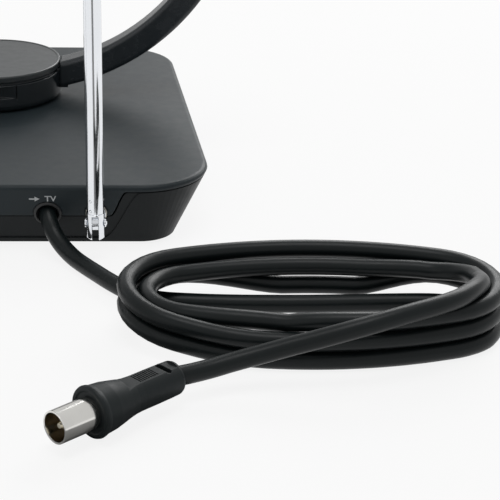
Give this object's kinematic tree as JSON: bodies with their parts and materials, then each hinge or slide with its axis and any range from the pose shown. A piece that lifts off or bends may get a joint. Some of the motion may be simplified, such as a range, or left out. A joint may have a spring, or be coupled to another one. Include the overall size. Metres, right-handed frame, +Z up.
{
  "type": "indoor television antenna",
  "caption": "Table antenna with a weighted base, turning oval loop, folding telescopic rods on the rear wall and a coiled coaxial lead with plug.",
  "frame": {"origin": "on the table, in the middle of the footprint of the antenna without its cable", "axes": "+Z up along the hub's axis, -Y towards the front, rods and cable outlet on the +Y wall, +X to the right seen from the front"},
  "size_m": [0.2688, 0.3057, 0.2019],
  "materials": {
    "base_top": "fine satin texture",
    "base_bottom": "fine satin texture",
    "ballast": "zinc",
    "board": "solder mask",
    "ferrite": "dull",
    "hub_black": "semi gloss",
    "hub_grey": "satin",
    "loop_grey": "satin",
    "rubber": "dull",
    "cable": "smooth flexible sheath",
    "steel": "plated",
    "brass": "turned",
    "chrome": "polished",
    "plug_grip": "moulded",
    "nickel": "nickel plated",
    "insulator": "moulded",
    "contact": "plated"
  },
  "bodies": {
    "base": {"top_cover": "base_top", "bottom_cover": "base_bottom", "ballast_plate": "ballast", "circuit_board": "board", "balun_core": "ferrite", "cable_clamp": "hub_black", "cable_grommet": "rubber", "inner_lead": "cable", "housing_screws": "steel", "foot_rear_left": "rubber", "foot_rear_right": "rubber", "foot_front_left": "rubber", "foot_front_right": "rubber", "left_bush": "brass", "right_bush": "brass", "cable_lead": "cable", "cable_coil": "cable", "cable_tail": "cable", "plug_body": "plug_grip", "plug_shell": "nickel", "plug_insulator": "insulator", "plug_pin": "contact"},
    "hub": {"hub_body": "hub_black", "hub_cap": "hub_grey", "hub_screw": "steel", "hub_washer": "steel", "hub_spring_washer": "steel", "loop_ring": "loop_grey", "loop_keeper": "hub_black"},
    "left_swivel": {"left_stud": "chrome", "left_stud_nut": "steel"},
    "left_rod": {"left_clevis": "chrome", "left_pivot_pin": "chrome", "left_tube_1": "chrome"},
    "left_section_2": {"left_tube_2": "chrome"},
    "left_section_3": {"left_tube_3": "chrome"},
    "left_section_4": {"left_tube_4": "chrome", "left_tip": "chrome"},
    "right_swivel": {"right_stud": "chrome", "right_stud_nut": "steel"},
    "right_rod": {"right_clevis": "chrome", "right_pivot_pin": "chrome", "right_tube_1": "chrome"},
    "right_section_2": {"right_tube_2": "chrome"},
    "right_section_3": {"right_tube_3": "chrome"},
    "right_section_4": {"right_tube_4": "chrome", "right_tip": "chrome"}
  },
  "joints": [
    {"name": "hub_turn", "type": "hinge", "parent": "base", "child": "hub", "pos_m": [0, -0.02335, 0.024], "axis": [0, 0, 1], "range_deg": [-90, 90]},
    {"name": "left_swivel_turn", "type": "hinge", "parent": "base", "child": "left_swivel", "pos_m": [-0.043, 0.08385, 0.013], "axis": [0, 1, 0], "range_deg": [-85, 0]},
    {"name": "left_fold", "type": "hinge", "parent": "left_swivel", "child": "left_rod", "pos_m": [-0.043, 0.08385, 0.013], "axis": [-1, 0, 0], "range_deg": [0, 80]},
    {"name": "left_slide_2", "type": "slide", "parent": "left_rod", "child": "left_section_2", "axis": [0, 0, 1], "range_m": [0, 0.135]},
    {"name": "left_slide_3", "type": "slide", "parent": "left_section_2", "child": "left_section_3", "axis": [0, 0, 1], "range_m": [0, 0.135]},
    {"name": "left_slide_4", "type": "slide", "parent": "left_section_3", "child": "left_section_4", "axis": [0, 0, 1], "range_m": [0, 0.135]},
    {"name": "right_swivel_turn", "type": "hinge", "parent": "base", "child": "right_swivel", "pos_m": [0.043, 0.08385, 0.013], "axis": [0, -1, 0], "range_deg": [-85, 0]},
    {"name": "right_fold", "type": "hinge", "parent": "right_swivel", "child": "right_rod", "pos_m": [0.043, 0.08385, 0.013], "axis": [-1, 0, 0], "range_deg": [0, 80]},
    {"name": "right_slide_2", "type": "slide", "parent": "right_rod", "child": "right_section_2", "axis": [0, 0, 1], "range_m": [0, 0.135]},
    {"name": "right_slide_3", "type": "slide", "parent": "right_section_2", "child": "right_section_3", "axis": [0, 0, 1], "range_m": [0, 0.135]},
    {"name": "right_slide_4", "type": "slide", "parent": "right_section_3", "child": "right_section_4", "axis": [0, 0, 1], "range_m": [0, 0.135]}
  ]
}
